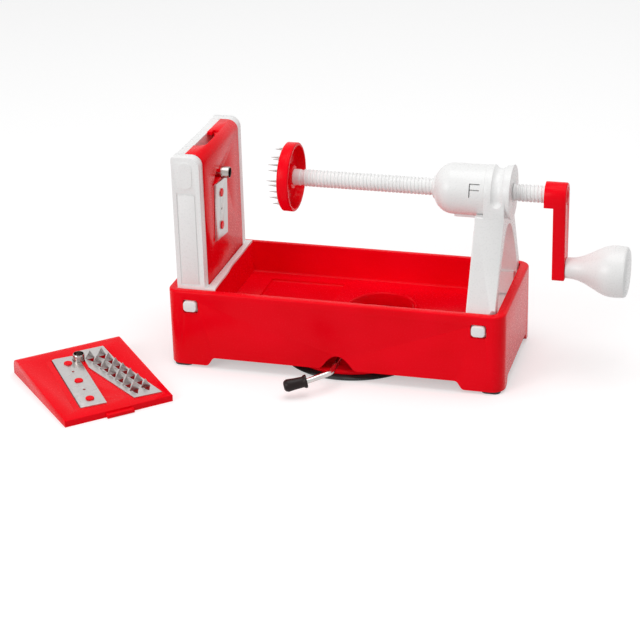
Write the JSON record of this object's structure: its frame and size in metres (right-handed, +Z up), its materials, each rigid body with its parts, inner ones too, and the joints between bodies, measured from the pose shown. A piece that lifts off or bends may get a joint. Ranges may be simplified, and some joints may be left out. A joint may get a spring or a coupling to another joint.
{
  "type": "hand-cranked vegetable spiralizer",
  "caption": "Hand-cranked vegetable spiralizer: suction-foot base with tray, slide-in blade cassette, threaded feed spindle with spiked disc and crank, and a spare toothed cassette.",
  "frame": {"origin": "on the table under the middle of the suction pad", "axes": "+X along the spindle from the blade cassette towards the crank, +Y to the back (away from the suction lever), +Z up"},
  "size_m": [0.4066, 0.2104, 0.1495],
  "materials": {
    "red_plastic": "glossy moulded plastic",
    "white_plastic": "glossy moulded plastic",
    "blade_steel": "ground sheet steel",
    "plated_steel": "bright plated rod",
    "black_plastic": "soft satin",
    "black_rubber": "smooth rubber",
    "spring_steel": "wire"
  },
  "bodies": {
    "base": {"base_tray": "red_plastic", "foot_pads": "black_rubber", "suction_pad": "black_rubber", "suction_shroud": "red_plastic", "shroud_screws": "plated_steel", "blade_holder": "white_plastic", "tower": "white_plastic", "bell_cover": "white_plastic", "nose_bush": "white_plastic"},
    "lever": {"lever_rod": "plated_steel", "lever_cam": "plated_steel", "lever_grip": "black_plastic"},
    "stem": {"suction_stem": "white_plastic"},
    "release": {"release_nut": "white_plastic", "release_spring": "spring_steel"},
    "feed": {"spindle_core": "plated_steel"},
    "spindle_body": {"spindle": "white_plastic", "spiked_disc": "red_plastic", "disc_pins": "blade_steel", "crank_arm": "red_plastic", "crank_cap": "red_plastic", "knob_pin": "plated_steel"},
    "knob": {"crank_knob": "white_plastic", "knob_cap": "white_plastic"},
    "cassette": {"cassette_shell": "red_plastic", "cassette_blade": "blade_steel", "coring_tube": "blade_steel"},
    "spare_cassette": {"spare_shell": "red_plastic", "spare_blade": "blade_steel", "spare_tooth_plate": "blade_steel", "spare_coring_tube": "blade_steel"},
    "button_front_left": {"latch_button_front_left": "white_plastic", "latch_spring_front_left": "spring_steel"},
    "button_back_left": {"latch_button_back_left": "white_plastic", "latch_spring_back_left": "spring_steel"},
    "button_front_right": {"latch_button_front_right": "white_plastic", "latch_spring_front_right": "spring_steel"},
    "button_back_right": {"latch_button_back_right": "white_plastic", "latch_spring_back_right": "spring_steel"}
  },
  "joints": [
    {"name": "suction_lever_turn", "type": "hinge", "parent": "base", "child": "lever", "pos_m": [0, 0, 0.013], "axis": [0, 1, 0], "range_deg": [0, 180]},
    {"name": "suction_stem_lift", "type": "slide", "parent": "base", "child": "stem", "axis": [0, 0, 1], "range_m": [0, 0.00251]},
    {"name": "release_press", "type": "slide", "parent": "base", "child": "release", "axis": [0, 0, 1], "range_m": [0, 0.0025], "stiffness_N_per_m": 800, "springref_m": -0.003, "deforming": ["release_spring"]},
    {"name": "spindle_feed", "type": "slide", "parent": "base", "child": "feed", "axis": [-1, 0, 0], "range_m": [-0.08751, 0.02001]},
    {"name": "crank_turn", "type": "hinge", "parent": "feed", "child": "spindle_body", "pos_m": [0, 0, 0.1245], "axis": [-1, 0, 0], "range_deg": [-12600, 2880]},
    {"name": "knob_spin", "type": "hinge", "parent": "spindle_body", "child": "knob", "pos_m": [0.165, 0, 0.074], "axis": [1, 0, 0], "continuous": true},
    {"name": "cassette_lift", "type": "slide", "parent": "base", "child": "cassette", "axis": [0, 0, 1], "range_m": [0, 0.1]},
    {"name": "spare_cassette_lift", "type": "slide", "parent": "base", "child": "spare_cassette", "axis": [0, 0, 1], "range_m": [0, 0.1]},
    {"name": "button_front_left_press", "type": "slide", "parent": "base", "child": "button_front_left", "axis": [0, 1, 0], "range_m": [0, 0.0025], "stiffness_N_per_m": 600, "springref_m": -0.002},
    {"name": "button_front_right_press", "type": "slide", "parent": "base", "child": "button_front_right", "axis": [0, 1, 0], "range_m": [0, 0.0025], "stiffness_N_per_m": 600, "springref_m": -0.002},
    {"name": "button_back_left_press", "type": "slide", "parent": "base", "child": "button_back_left", "axis": [0, -1, 0], "range_m": [0, 0.0025], "stiffness_N_per_m": 600, "springref_m": -0.002},
    {"name": "button_back_right_press", "type": "slide", "parent": "base", "child": "button_back_right", "axis": [0, -1, 0], "range_m": [0, 0.0025], "stiffness_N_per_m": 600, "springref_m": -0.002}
  ],
  "couplings": [
    {"joint": "spindle_feed", "follows": "crank_turn", "m_per_rad": 0.00039789},
    {"joint": "suction_stem_lift", "follows": "suction_lever_turn", "m_per_rad": 0.00079577}
  ]
}
